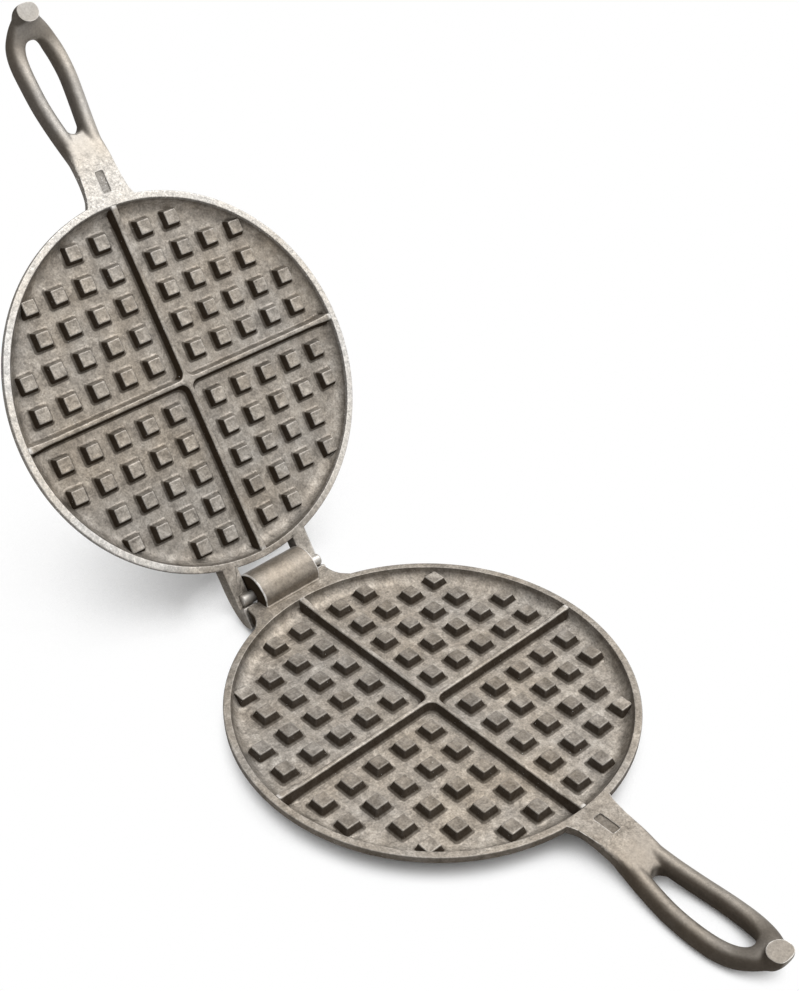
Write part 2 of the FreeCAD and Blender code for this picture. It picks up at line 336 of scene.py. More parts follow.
def stud(x0, y0):
    # tapered stud with round corners, a soft skirt where it leaves the floor and eased top edges
    top = -STUD_DROP + draw.uniform(*STUD_RISE)
    grow = draw.uniform(*STUD_GROW)
    turn = math.radians(draw.uniform(-STUD_TURN, STUD_TURN))
    slip = (draw.uniform(-STUD_SLIP, STUD_SLIP), draw.uniform(-STUD_SLIP, STUD_SLIP))
    slope = (STUD_BASE - STUD_TOP) / 2 / (-STUD_DROP - FLOOR)
    foot = STUD_BASE / 2 + STUD_SKIRT
    levels = [(foot, STUD_FOOT_CORNER, ROOT), (foot, STUD_FOOT_CORNER, FLOOR - FLOOR_BITE)]
    for share, rise in STUD_FOOT:
        half = STUD_BASE / 2 - slope * rise + STUD_SKIRT * share
        levels.append((half, STUD_CORNER + SKIRT_CORNER * share, FLOOR + rise))
    rim = STUD_TOP / 2 + grow / 2
    # over the top edge: outwards, corner radius and depth below the top
    edge = [
        (slope * STUD_NICK * 1.6, 0.75, STUD_NICK * 1.6), (0.02, 0.7, STUD_NICK * 0.75),
        (-STUD_NICK * 0.32, 0.6, STUD_NICK * 0.22), (-STUD_NICK, 0.5, 0.0),
        (-STUD_NICK - 0.45, 0.4, 0.03), (-STUD_NICK - 1.3, 0.4, STUD_SINK),
        (-STUD_NICK - 2.4, 0.2, 1.3 * STUD_SINK),
    ]
    levels += [(rim + out, corner, top - down) for out, corner, down in edge]
    rings = []
    for half, corner, z in levels:
        ring = []
        for x, y in rounded_square(half, corner):
            xx, yy = spun(x, y, turn)
            ring.append(held_in_wall(xx + x0 + slip[0], yy + y0 + slip[1], z))
        rings.append(ring)
    return rings


def studs():
    steps = int((STUD_LIMIT - STUD_FIRST) / STUD_PITCH) + 1
    places = [STUD_FIRST + STUD_PITCH * k for k in range(steps)]
    made = []
    for x in places:
        for y in places:
            if math.hypot(x, y) <= STUD_LIMIT:
                made += [stud(sx * x, sy * y) for sx in (-1, 1) for sy in (-1, 1)]
    return skin("studs", made)


def rib_half_section(rise=0.0):
    # half widths and heights up one side of a rib, with its foot and top eased
    high = -RIB_DROP + (RIB_DROP + FACE) * rise
    top = RIB_TOP / 2 + RIB_WIDEN * rise * rise
    slope = (RIB_BASE - RIB_TOP) / 2 / (-RIB_DROP - FLOOR)
    foot = top + slope * (high - FLOOR)
    section = [(foot + RIB_SKIRT, ROOT), (foot + RIB_SKIRT, FLOOR - FLOOR_BITE)]
    for share, lift in RIB_FOOT:
        section.append((foot - slope * lift + RIB_SKIRT * share, FLOOR + lift))
    section.append((top + slope * RIB_EASE, high - RIB_EASE))
    return section + [(top - inward, high - down) for inward, down in RIB_EDGE]


def rib(name, along):
    # straight rib, rising level with the rim and widening where it meets the wall
    rings = []
    for k in range(RIB_STEPS + 1):
        run = RIM_INNER * (2 * k / RIB_STEPS - 1)
        half = rib_half_section(smooth(RIM_INNER - RIB_RISE, RIM_INNER - RIB_MEET, abs(run)))
        ring = []
        for across, z in half + [(-y, z) for y, z in reversed(half)]:
            x, y = (run, across) if along else (-across, run)
            ring.append(held_in_wall(x, y, z))
        rings.append(ring)
    return skin(name, [rings])


def crossing():
    # the ribs swell into hollow corners where they cross
    rings = []
    for half, z in rib_half_section():
        reach = half + RIB_CROSSING
        ring = []
        for quarter in range(4):
            turn = math.radians(90 * quarter)
            hollow = arc(reach, reach, RIB_CROSSING, 270, 180, 6)
            ring += [(*spun(x, y, turn), z) for x, y in hollow]
        rings.append(ring)
    return skin("crossing", [rings])


def neck_ring(x, half, top, bottom, nick):
    belly = min((top - bottom) * NECK_BELLY, top - bottom - nick - NECK_FLANK)
    ring = arc(half - nick, top - nick, nick, 90, 0, 4)
    ring += arc(half - belly, bottom + belly, belly, 0, -90, 6)
    ring += arc(belly - half, bottom + belly, belly, -90, -180, 6)
    ring += arc(nick - half, top - nick, nick, 180, 90, 4)
    return [(x, y, z) for y, z in ring]


def neck():
    # flat neck that sinks between the rods and ends in the round start of the loop's opening
    under = FACE - NECK_THICK
    over = FACE + CUT_SPARE
    # place along the handle, half width, top, underside and corner radius
    stations = [
        (RIM_INNER - 5, NECK_HALF + 6.0, over, under, 0.5),
        (RIM_OUTER - 1, NECK_HALF + 2.7, over, under, 0.5),
        (RIM_OUTER + 3, NECK_HALF + 1.1, over, under, 0.5),
        (RIM_OUTER + 9, NECK_HALF + 0.3, FACE + 0.7, under - 0.1, 0.5),
        (LOOP_START - 3, NECK_HALF, FACE + 0.2, under - 0.6, 0.7),
        (LOOP_START + 4, NECK_HALF, FACE - 0.35, under - 1.5, 1.5),
        (LOOP_START + 11, NECK_HALF + 0.1, FACE - 1.8, under - 2.8, 2.2),
        (LOOP_START + HOLE_START, NECK_HALF + 0.8, FACE - 5.7, under - 3.6, 2.2),
    ]
    blank = skin("neck", [[neck_ring(*station) for station in between(stations, 4)]])
    centre = LOOP_START + HOLE_START + CROTCH_SET
    end_top, end_under = stations[-1][2:4]
    middle = (end_top + end_under) / 2
    nose = (end_top - end_under) / 2 + CROTCH_SPARE
    waist = [(CROTCH_LOW, nose)] + arc(middle, nose, nose, 180, 360, 12) + [(CROTCH_HIGH, nose)]
    rings = []
    for z, flare in waist:
        radius = CROTCH_ROUND + CROTCH_FLARE * flare
        rings.append([(centre + x, y, z) for x, y in circle(radius, ROD_STEPS)])
    cut_away(blank, skin("crotch", [rings]))
    return blank


# along the handle, out from its middle, low under the face, stoutness, heading and lean of the rod
LOOP_SIDE = [
    (0.0, 0.44, 0.49, 0.95, 9, 0.0), (0.13, 0.6, 0.62, 0.96, 9, 0.0), (0.29, 0.765, 0.84, 0.94, 8, 0.0),
    (0.46, 0.92, 0.98, 0.93, 6, 0.0), (0.62, 1.0, 1.0, 0.94, 1, 0.0), (0.76, 0.985, 0.99, 0.98, -7, 0.0),
    (0.86, 0.865, 0.92, 1.0, -25, 0.06), (0.93, 0.655, 0.79, 1.04, -46, 0.22),
    (0.977, 0.355, 0.68, 1.2, -69, 0.38), (0.998, 0.0, 0.62, 1.34, -90, 0.5),
]
UPPER_DROOP = (0, 0, 0, 0, 0.02, 0.13, 0.22, 0.19, 0.13, 0.1)
UPPER_LEAN = 1.7
LOWER_SWAY = 1.0
SWAY_INSET = 4


def sway(x, upper):
    # the lower grip is cast a little to one side of its neck and tip
    run = HANDLE_END - 2 * SWAY_INSET - RIM_OUTER
    share = min(1.0, max(0.0, (x - RIM_OUTER - SWAY_INSET) / run))
    return 0.0 if upper else -LOWER_SWAY * math.sin(math.pi * share)


def loop(upper):
    # one oval rod bent round a long drop: lowest and widest in the grip, rising to the tip
    side = [list(station) for station in LOOP_SIDE]
    if upper:
        for station, droop in zip(side, UPPER_DROOP):
            station[2] += droop
            station[5] *= UPPER_LEAN
    back = []
    for along, out, low, stout, heading, lean in reversed(side[:-1]):
        back.append([along, -out, low, stout, -180 - heading, lean])
    rings = []
    for along, out, low, stout, heading, lean in between(side + back, 4):
        turn = math.radians(heading)
        ring = []
        for across, up in circle(1, ROD_STEPS):
            reach = across * ROD_WIDTH * stout / 2
            rise = up * ROD_HEIGHT / 2
            ring.append((
                LOOP_START + LOOP_LENGTH * along - math.sin(turn) * reach + lean * rise,
                LOOP_HALF * out + math.cos(turn) * reach,
                rise - LOOP_DEPTH * low,
            ))
        rings.append(ring)
    return skin("loop", [rings])


# up the nub: shift towards the plate, height, and shares of its length and width
NUB_LEVELS = [
    (-5.4, -9.4, 0.6, 0.7), (-3.6, -7.8, 0.9, 1.1), (-1.6, -5.3, 1.04, 1.3), (-0.3, -2.8, 1.03, 1.22),
    (0.0, -1.0, 1.0, 1.05), (0.0, FACE + CUT_SPARE, 1.0, 1.0),
]


def nub(upper):
    # flat-topped lump on the tip, round towards the plate and squarer outwards, spreading into the loop
    length = NUB_ALONG * (UPPER_NUB if upper else 1.0)
    width = NUB_ACROSS * (UPPER_NUB if upper else 1.0)
    centre = HANDLE_END - length / 2
    rings = []
    for shift, z, along, across in NUB_LEVELS:
        ring = []
        for x, y in circle(1, NUB_STEPS):
            square = NUB_SQUARE if x > 0 else 1.0
            ring.append((
                centre + shift + math.copysign(abs(x) ** square, x) * along * length / 2,
                math.copysign(abs(y) ** square, y) * across * width / 2, z,
            ))
        rings.append(ring)
    return skin("nub", [rings])


def panel():
    # the shallow panel in the neck, its walls leaning out
    stretch = PANEL_LENGTH - PANEL_WIDTH
    rings = []
    for z, slack in zip((FACE - PANEL_DEPTH, FACE + 1), PANEL_DRAFT):
        ring = []
        for x, y in rounded_square(PANEL_WIDTH / 2, PANEL_CORNER):
            along = PANEL_START + PANEL_WIDTH / 2 + x + (stretch if x > 0 else 0) + math.copysign(slack, x)
            ring.append((along, y + math.copysign(slack, y), z))
        rings.append(ring)
    return skin("panel", [rings])


def prism(name, outline, y0, y1, ease):
    # a side view in x and z given width across, with eased edges
    made = skin(name, [[[(x, y, z) for x, z in outline] for y in (y0, y1)]])
    shape = bmesh.new()
    shape.from_mesh(made.data)
    sharp = [edge for edge in shape.edges if edge.calc_face_angle(0) > math.radians(SHARP_ANGLE)]
    bmesh.ops.bevel(
        shape, geom=sharp, offset=ease, segments=3, profile=0.5, affect="EDGES", clamp_overlap=True,
    )
    bmesh.ops.recalc_face_normals(shape, faces=shape.faces)
    shape.to_mesh(made.data)
    shape.free()
    made.location.x = -HINGE_REACH
    return made


def hinge_arm(y0):
    # arm with a rounded heel behind the pin
    back_z = HEEL_RISE - HEEL_ROUND
    swing = HEEL_REACH + HEEL_SWEEP
    root = HINGE_REACH - RIM_INNER + ARM_ROOT
    outline = [(root, FACE), (-PIN_RADIUS, FACE), (-PIN_RADIUS, HEEL_RISE)]
    outline += arc(HEEL_ROUND - HEEL_REACH, back_z, HEEL_ROUND, 90, 180, 5)[:-1]
    for across, up in arc(0, 0, 1, 180, 270, 12):
        outline.append((HEEL_SWEEP + across * swing, back_z + up * (back_z + ARM_THICK)))
    outline += [(root, -ARM_THICK)]
    return prism("arm", outline, y0, y0 + ARM_WIDTH, ARM_EASE)


def stop_line(z):
    return (HEEL_RISE + STOP_GAP + z * math.cos(OPEN_ANGLE)) / math.sin(OPEN_ANGLE)


def hinge_pad():
    # shelf that the heels stop against, spreading into the rim
    root = HINGE_REACH - RIM_INNER + PAD_ROOT
    rings = []
    for share, spread in PAD_SPREAD:
        half = PAD_HALF + spread
        side = [(half - PAD_EASE, FACE), (half, FACE - PAD_EASE)]
        side += [(half, PAD_EASE - ARM_THICK), (half - PAD_EASE, -ARM_THICK)]
        ring = []
        for y, z in side + [(-y, z) for y, z in reversed(side)]:
            ring.append((stop_line(z) + (root - stop_line(z)) * share - HINGE_REACH, y, z))
        rings.append(ring)
    return skin("pad", [rings])


def hinge_hook():
    # arch over the pin with a free leg behind it, open below, its root standing on the table
    leg = (HOOK_RADIUS - HOOK_BORE) / 2
    under_rim = HINGE_REACH - RIM_OUTER + HOOK_UNDER
    root = HINGE_REACH - REST_RADIUS + HOOK_ROOT
    inside = FLOOR - HOOK_SINK
    outline = arc(HOOK_BORE + HOOK_TOE, REST + HOOK_TOE, HOOK_TOE, 180, 270, 5)
    outline += [(root, REST), (root, inside), (under_rim, inside), (under_rim, FACE), (HOOK_FRONT, FACE)]
    outline += [(HOOK_FRONT - inward, z) for inward, z in HOOK_SHOULDER]
    outline += arc(0, 0, HOOK_RADIUS, HOOK_CREST, 180, 30)
    outline += arc(-HOOK_BORE - leg, -HOOK_LEG, leg, 180, 360, 14)
    outline += arc(0, 0, HOOK_BORE, 180, 0, 18)
    return prism("hook", outline, -HOOK_HALF, HOOK_HALF, HOOK_EASE)


def hinge_pin():
    # drawn bar with softly headed ends
    levels = [(y - ARM_OUTER, share) for y, share in PIN_END]
    levels += [(ARM_OUTER - PIN_INSET - y, share) for y, share in reversed(PIN_END)]
    rings = []
    for y, share in levels:
        rings.append([(x - HINGE_REACH, y, z) for x, z in circle(PIN_RADIUS * share, PIN_STEPS)])
    return skin("pin_visual", [rings])


def apply_modifiers(piece):
    bpy.context.view_layer.update()
    graph = bpy.context.evaluated_depsgraph_get()
    mesh = bpy.data.meshes.new_from_object(piece.evaluated_get(graph))
    piece.modifiers.clear()
    piece.data = mesh


def combine(piece, other, operation):
    step = piece.modifiers.new(operation, "BOOLEAN")
    step.operation = operation
    step.solver = "MANIFOLD"
    step.object = other
    apply_modifiers(piece)
    bpy.data.objects.remove(other)


def add_on(piece, other):
    combine(piece, other, "UNION")


def cut_away(piece, other):
    combine(piece, other, "DIFFERENCE")


def dish():
    # the room inside the rim, kept just within its metal
    foot = RIM_INNER - WALL_DRAFT + DISH_BITE
    mouth = RIM_INNER + DISH_BITE
    return skin("dish", [turned([(foot, FLOOR - DISH_SINK), (mouth, FACE), (mouth, DISH_ROOM)])])


def above_face():
    reach = CUT_REACH
    corners = [(-reach, -reach), (reach, -reach), (reach, reach), (-reach, reach)]
    return skin("above_face", [[[(x, y, z) for x, y in corners] for z in (FACE, CUT_HEIGHT)]])


def keep_in_reach(spot):
    # the underside of the tip is eased off where the open upper half reaches furthest back
    lean_x, lean_z = -math.cos(OPEN_ANGLE), -math.sin(OPEN_ANGLE)
    reach = lean_x * (spot.x + HINGE_REACH) + lean_z * spot.z
    over = reach - (BACK_REACH - TIP_EASE)
    if over > 0:
        back = over - TIP_EASE * math.tanh(over / TIP_EASE)
        spot.x -= lean_x * back
        spot.z -= lean_z * back


def handle(upper):
    # neck, loop and nub run into one another as a casting does, and are level with the rim on top
    grip = neck()
    for part in (loop(upper), nub(upper)):
        add_on(grip, part)
    remesh = grip.modifiers.new("even", "REMESH")
    remesh.mode = "VOXEL"
    remesh.voxel_size = HANDLE_VOXEL
    soften = grip.modifiers.new("soften", "SMOOTH")
    soften.iterations = HANDLE_SMOOTH
    soften.factor = 0.5
    apply_modifiers(grip)
    for spot in grip.data.vertices:
        spot.co.y += sway(spot.co.x, upper)
        keep_in_reach(spot.co)
    for part in (above_face(), dish(), panel()):
        cut_away(grip, part)
    return grip


def seat_matrix(upper):
    # flat half to its place in the frame, in metres
    place = Matrix.Translation((0, 0, REST_DEPTH))
    if upper:
        axis = Matrix.Translation((-HINGE_REACH, 0, 0))
        swing = axis @ Matrix.Rotation(-OPEN_ANGLE, 4, "Y") @ axis.inverted()
        place = place @ swing @ Matrix.Rotation(math.pi, 4, "X")
    return Matrix.Scale(MM, 4) @ place


# shares of crust, smoke, painted shade, wear, painted highlight and painted face light on the casting, each
# from 0 to 1
THIN_CRUST = 0.3
LOWER_SIDE_SHADE = 0.95
TOP_CRUST = 0.36
SKIRT_SHADOW = 0.7
LOWER_FACE_CRUST = 0.1
OUTER_SMOKE_AND_SHADE = 0.75
UNDER_SMOKE_AND_SHADE = 0.7
GRIP_FLANK_SHADE = 0.85
BOW_DARK = 0.5
HOOK_FRONT_SHADE = 0.2
STOP_SHADE = 0.9
ARM_SIDE_SHADE = 0.45
HOOK_END_HIGHLIGHT = 1.8
SHELF_WEAR = 0.2
DISH_WEAR = 0.6
CRUST_SHADE_COVER = 0.9
UPPER_GRIP_LIGHT = 0.4
FAR_ARM_LIGHT = 0.4
HOOK_SLEEK = 0.6
DISH_MARGIN = 0.8
FACE_LIGHT_MARGIN = 0.5
HOOK_BAND = 0.85
BEND_GAIN = 4.5
BEND_START = 0.25
# bands over which a share goes from 0 to 1: by the lean of a face, or by height in millimetres
STEEP_BAND = (0.45, 0.58)
SHADED_SIDE_BAND = (0.0, 0.45)
SKIRT_TOP = (0.9, 0.3)
SKIRT_FOOT = (0.0, 0.08)
STUD_TOP_BAND = (2.5, 3.5)
END_BAND = (0.55, 0.85)
HINGE_UNDER = (0.1, -0.5)
STOP_BAND = (0.3, 0.7)
FRONT_BAND = (0.45, 0.8)
FLANK_BAND = (-0.1, 0.6)
OUTER_UNDER = (0.1, -0.6)
SMOKE_SHADE_BAND = (0.75, 0.4)
BOW_BAND = (-1.0, -3.5)
HOOK_HIGHLIGHT_FROM = (0.02, 0.2)
HOOK_HIGHLIGHT_TO = (0.99, 0.9)
FACE_LIGHT_BAND = (-0.5, 0.0)


def mark(shape, name, values):
    layer = shape.verts.layers.float.new(name)
    for spot, value in zip(shape.verts, values):
        spot[layer] = value


def bend_of(spot):
    # below zero on outer edges, above zero in corners
    total = 0.0
    for link in spot.link_edges:
        total += (link.other_vert(spot).co - spot.co).normalized().dot(spot.normal)
    return total / max(1, len(spot.link_edges))


def bend_share(bend):
    return min(1.0, max(0.0, BEND_GAIN * bend - BEND_START))


def widest_facing(spot):
    return max(spot.link_faces, key=lambda face: face.calc_area()).normal


def distance(spot):
    return math.hypot(spot.co.x, spot.co.y)


def grip_share(spot):
    return smooth(LOOP_START - 2, LOOP_START + 12, spot.x)


def lower_share(spot):
    on_hook = spot.x < HOOK_RADIUS - HINGE_REACH + 2 and abs(spot.y) < HOOK_HALF + 0.1
    return HOOK_SLEEK if on_hook else grip_share(spot)


def wear_and_highlight_at(spot, bend, crust_shade, upper):
    # bright worn outer edges, held back where crust and painted shade lie, and a painted highlight round the
    # ends of the hook
    out = spot.co.x + HINGE_REACH
    reach = math.hypot(out, spot.co.z)
    at_end = abs(abs(spot.co.y) - HOOK_HALF) < HOOK_BAND and reach > HOOK_RADIUS - HOOK_BAND
    if at_end and not upper and spot.co.z > FACE and out < HOOK_RADIUS:
        leaning = abs(widest_facing(spot).y)
        return HOOK_END_HIGHLIGHT * smooth(*HOOK_HIGHLIGHT_FROM, leaning) * smooth(*HOOK_HIGHLIGHT_TO, leaning)
    on_shelf = not upper and spot.co.x < -RIM_OUTER and spot.co.z < FACE + 0.1
    inside = distance(spot) < RIM_INNER - DISH_MARGIN
    share = SHELF_WEAR if on_shelf else (DISH_WEAR if inside else 1.0)
    return share * (1.0 - CRUST_SHADE_COVER * crust_shade) * bend_share(-bend)


def dish_crust_and_shade(spot, facing, upper):
    # a thin crust on all steep sides of studs and ribs, painted shade on the two sides turned towards the
    # camera, and a painted shadow on the skirt below them, and a thin bloom on the tops of the lower studs
    side = -1.0 if upper else 1.0
    steep = 1.0 - smooth(*STEEP_BAND, abs(facing.z))
    lean = Vector((spot.normal.x, spot.normal.y)).normalized()
    shaded_side = smooth(*SHADED_SIDE_BAND, max(side * lean.x, -side * lean.y))
    high = spot.co.z - FLOOR
    radius = distance(spot)
    skirt_shadow = SKIRT_SHADOW * shaded_side * smooth(*SKIRT_TOP, high) * smooth(*SKIRT_FOOT, high)
    skirt_shadow *= smooth(COVE_FOOT + 0.5, COVE_FOOT, radius)
    whole = 1.0 if upper else LOWER_SIDE_SHADE
    beside_ribs = min(abs(spot.co.x), abs(spot.co.y)) > RIB_BASE
    top = TOP_CRUST * smooth(*STUD_TOP_BAND, high) if beside_ribs and not upper else 0.0
    top *= smooth(COVE_FOOT + 4, COVE_FOOT, radius)
    return max(steep * (THIN_CRUST + (whole - THIN_CRUST) * shaded_side), skirt_shadow, top)


def hinge_shade(spot, facing, upper):
    # painted shade on the ends, the stops and the undersides, and a lighter painted shade on the front of
    # the hook
    outside = upper and abs(spot.co.y) > ARM_OUTER - 1
    ends = (ARM_SIDE_SHADE if outside else 1.0) * smooth(*END_BAND, abs(facing.y))
    below = UNDER_SMOKE_AND_SHADE * smooth(*HINGE_UNDER, facing.z)
    if upper:
        return max(ends, below)
    stops = STOP_SHADE * smooth(*STOP_BAND, -facing.x) * smooth(FACE + 0.5, FACE, spot.co.z)
    front = HOOK_FRONT_SHADE * smooth(*FRONT_BAND, facing.x) * smooth(FACE, FACE + 0.5, spot.co.z)
    return max(ends, below, stops, front)


def outer_smoke_and_shade(spot, facing, upper):
    # smoke and painted shade on the back and the outside of the rim, painted shade on the flanks of neck and
    # grip turned towards the camera and on their undersides, and a darker band low round the tip
    side = -1.0 if upper else 1.0
    below = UNDER_SMOKE_AND_SHADE * smooth(*OUTER_UNDER, spot.normal.z)
    flank = max(smooth(*FLANK_BAND, -side * spot.normal.y), below)
    neck_share = smooth(RIM_OUTER, RIM_OUTER + 8, spot.co.x)
    smoke_and_shade = OUTER_SMOKE_AND_SHADE * smooth(*SMOKE_SHADE_BAND, facing.z) * (1.0 - neck_share + neck_share * flank)
    smoke_and_shade = smoke_and_shade if upper else max(smoke_and_shade, LOWER_FACE_CRUST)
    bow = smooth(HANDLE_END - 28, HANDLE_END - 14, spot.co.x) * smooth(*BOW_BAND, spot.co.z)
    grip = max(GRIP_FLANK_SHADE * flank, BOW_DARK * bow)
    return smoke_and_shade + (grip - smoke_and_shade) * grip_share(spot.co)


def crust_and_shade_at(spot, upper):
    # baked-on crust and painted shade in the dish, painted shade round the hinge, and smoke and painted
    # shade outside
    facing = widest_facing(spot)
    if distance(spot) < RIM_INNER - DISH_MARGIN and spot.co.z - FLOOR > -0.5:
        return dish_crust_and_shade(spot, facing, upper)
    if spot.co.x < 1.0 - RIM_OUTER and abs(spot.co.y) < ARM_OUTER + 1:
        return hinge_shade(spot, facing, upper)
    return outer_smoke_and_shade(spot, facing, upper)


def upper_face_light(spot, upper):
    # painted light: the upper half's face level with the rim is made brighter, less so near the hinge and on
    # the grip
    inside = distance(spot) < RIM_INNER - FACE_LIGHT_MARGIN and spot.co.z > FLOOR - 0.5
    if inside or not upper:
        return 0.0
    if spot.co.x < -RIM_OUTER and spot.co.y < 0:
        return FAR_ARM_LIGHT
    away = smooth(3 - RIM_OUTER, 26 - RIM_OUTER, spot.co.x) * smooth(*FACE_LIGHT_BAND, spot.normal.z)
    grip = smooth(LOOP_START - 8, LOOP_START + 12, spot.co.x)
    return away * (1.0 - (1.0 - UPPER_GRIP_LIGHT) * grip)


def finish_casting(piece, upper, smooth_part):
    # clean the joined mesh, note its outer edges, corners and smooth parts, and seat it
    shape = bmesh.new()
    shape.from_mesh(piece.data)
    bmesh.ops.remove_doubles(shape, verts=shape.verts, dist=WELD)
    bmesh.ops.dissolve_degenerate(shape, edges=shape.edges, dist=SLIVER)
    level = [face for face in shape.faces if all(abs(spot.co.z - FACE) < WELD for spot in face.verts)]
    bmesh.ops.inset_region(shape, faces=level, thickness=LAND_INSET, use_boundary=True, use_even_offset=True)
    shape.normal_update()
    bends = [bend_of(spot) for spot in shape.verts]
    # share of baked-on crust, smoke and painted shade at each point
    crust_shade = [crust_and_shade_at(spot, upper) for spot in shape.verts]
    # worn edges, and a painted highlight round the hook's ends
    mark(shape, "edge_wear_and_highlight", [wear_and_highlight_at(*given, upper) for given in zip(shape.verts, bends, crust_shade)])
    # dirt and painted shade in concave corners
    mark(shape, "corner_dirt_and_shade", [bend_share(bend) for bend in bends])
    mark(shape, "smoothness", [smooth_part(spot.co) for spot in shape.verts])
    mark(shape, "crust_and_shade", crust_shade)
    # painted light on the upper half's face
    mark(shape, "face_light", [upper_face_light(spot, upper) for spot in shape.verts])
    shape.to_mesh(piece.data)
    shape.free()
    piece.data.transform(seat_matrix(upper))
    piece.data.shade_smooth()
    piece.data.set_sharp_from_angle(angle=math.radians(SHADE_ANGLE))
    even = piece.modifiers.new("even_shading", "WEIGHTED_NORMAL")
    even.keep_sharp = True
    even.weight = 50


def half(name, upper):
    body = plate()
    for part in (studs(), rib("rib_along", True), rib("rib_across", False), crossing(), handle(upper)):
        add_on(body, part)
    if upper:
        hinge_parts = [hinge_arm(ARM_INNER), hinge_arm(-ARM_OUTER)]
    else:
        hinge_parts = [hinge_pad(), hinge_hook()]
    for part in hinge_parts:
        cut_away(part, dish())
        add_on(body, part)
    room = PIN_RADIUS if upper else HOOK_BORE
    end = ARM_OUTER - PIN_INSET if upper else ARM_OUTER
    spots = [(x - HINGE_REACH, z) for x, z in circle(room, PIN_STEPS)]
    cut_away(body, skin("pin_room", [[[(x, y, z) for x, z in spots] for y in (-ARM_OUTER - 1, end)]]))
    body.name = name
    finish_casting(body, upper, grip_share if upper else lower_share)
    return body


def add_node(tree, kind, **values):
    node = tree.nodes.new("ShaderNode" + kind)
    for key, value in values.items():
        if hasattr(node, key):
            setattr(node, key, value)
        else:
            node.inputs[key].default_value = value
    return node


def noise_at(tree, place, size_mm, detail, rough):
    # noise whose features are about size_mm across
    made = add_node(tree, "TexNoise", Scale=1000.0 / size_mm, Detail=detail, Roughness=rough)
    tree.links.new(place, made.inputs["Vector"])
    return made.outputs["Fac"]


def ramp(tree, value, stops):
    made = tree.nodes.new("ShaderNodeValToRGB")
    while len(made.color_ramp.elements) < len(stops):
        made.color_ramp.elements.new(0.5)
    for element, (spot, colour) in zip(made.color_ramp.elements, stops):
        element.position = spot
        element.color = colour if len(colour) == 4 else (*colour, 1)
    tree.links.new(value, made.inputs["Fac"])
    return made.outputs["Color"]


def fill(tree, socket, value):
    if isinstance(value, bpy.types.NodeSocket):
        tree.links.new(value, socket)
    elif value is not None:
        socket.default_value = value


def blend_colours(tree, share, a, b, kind="MIX"):
    made = tree.nodes.new("ShaderNodeMix")
    made.data_type = "RGBA"
    made.blend_type = kind
    for socket, value in zip((made.inputs["Factor"], made.inputs[6], made.inputs[7]), (share, a, b)):
        fill(tree, socket, value)
    return made.outputs[2]


def sum_of(tree, operation, a, b, c=None):
    made = tree.nodes.new("ShaderNodeMath")
    made.operation = operation
    for socket, value in zip(made.inputs, (a, b, c)):
        fill(tree, socket, value)
    return made.outputs[0]


def grey(value):
    return (value, value, value, 1)


IRON_DARK = (0.209, 0.189, 0.165)
IRON_MID = (0.314, 0.288, 0.256)
IRON_PALE = (0.428, 0.399, 0.362)
IRON_GRIP = (0.225, 0.205, 0.181)
# colour of the painted brighter face on the upper half
IRON_FACE_LIGHT = (0.65, 0.63, 0.6)
# colour of worn edges and of the painted highlight round the hook's ends
IRON_WORN_AND_LIT = (0.7, 0.68, 0.65)
# colour of the painted glints
IRON_SPARK = (0.82, 0.81, 0.79)
# one dark colour for crust, smoke and painted shade
IRON_SOOT_AND_SHADE = (0.02, 0.0125, 0.0065)
IRON_METAL = 0.9
IRON_ROUGH = 0.42
MOTTLE_ROUGH = 0.2
SLEEK_ROUGH = -0.05
CRUST_SHADE_DEPTH = 0.97
CORNER_DIRT_SHADE_SHARE = 0.5
SLEEK_SHARE = 0.8
FACE_LIGHT_SHARE = 0.85
GRAIN_SHARE = 0.8
SLEEK_GRAIN = -0.45
FACE_LIGHT_GLINT = 0.1
SLEEK_GLINT = -0.2
# sizes of the marks on the casting, in millimetres
GLINT_SIZE = 0.8
GRAIN_SIZE = 1.0
RELIEF_SIZE = 2.6
MOTTLE_SIZE = 7.0
PATCH_SIZE = 38.0
MOTTLE_STOPS = [(0.28, IRON_DARK), (0.5, IRON_MID), (0.72, IRON_PALE)]
SPECK_STOPS = [(0.3, grey(0.68)), (0.5, grey(1.0)), (0.7, grey(1.3))]
CLOUD_STOPS = [(0.3, grey(0.74)), (0.5, grey(1.0)), (0.7, grey(1.25))]
WARM_STOPS = [(0.35, (1.0, 1.0, 1.0)), (0.7, (1.02, 0.965, 0.89))]
BREAKUP_STOPS = [(0.35, grey(0.35)), (0.6, grey(0.9))]
SPARK_STOPS = [(0.73, grey(0)), (0.8, grey(0.85))]
RELIEF_BUMP = 1.6
BUMP_STRENGTH = 0.5
SLEEK_BUMP = -0.3
BUMP_DEPTH = 0.4


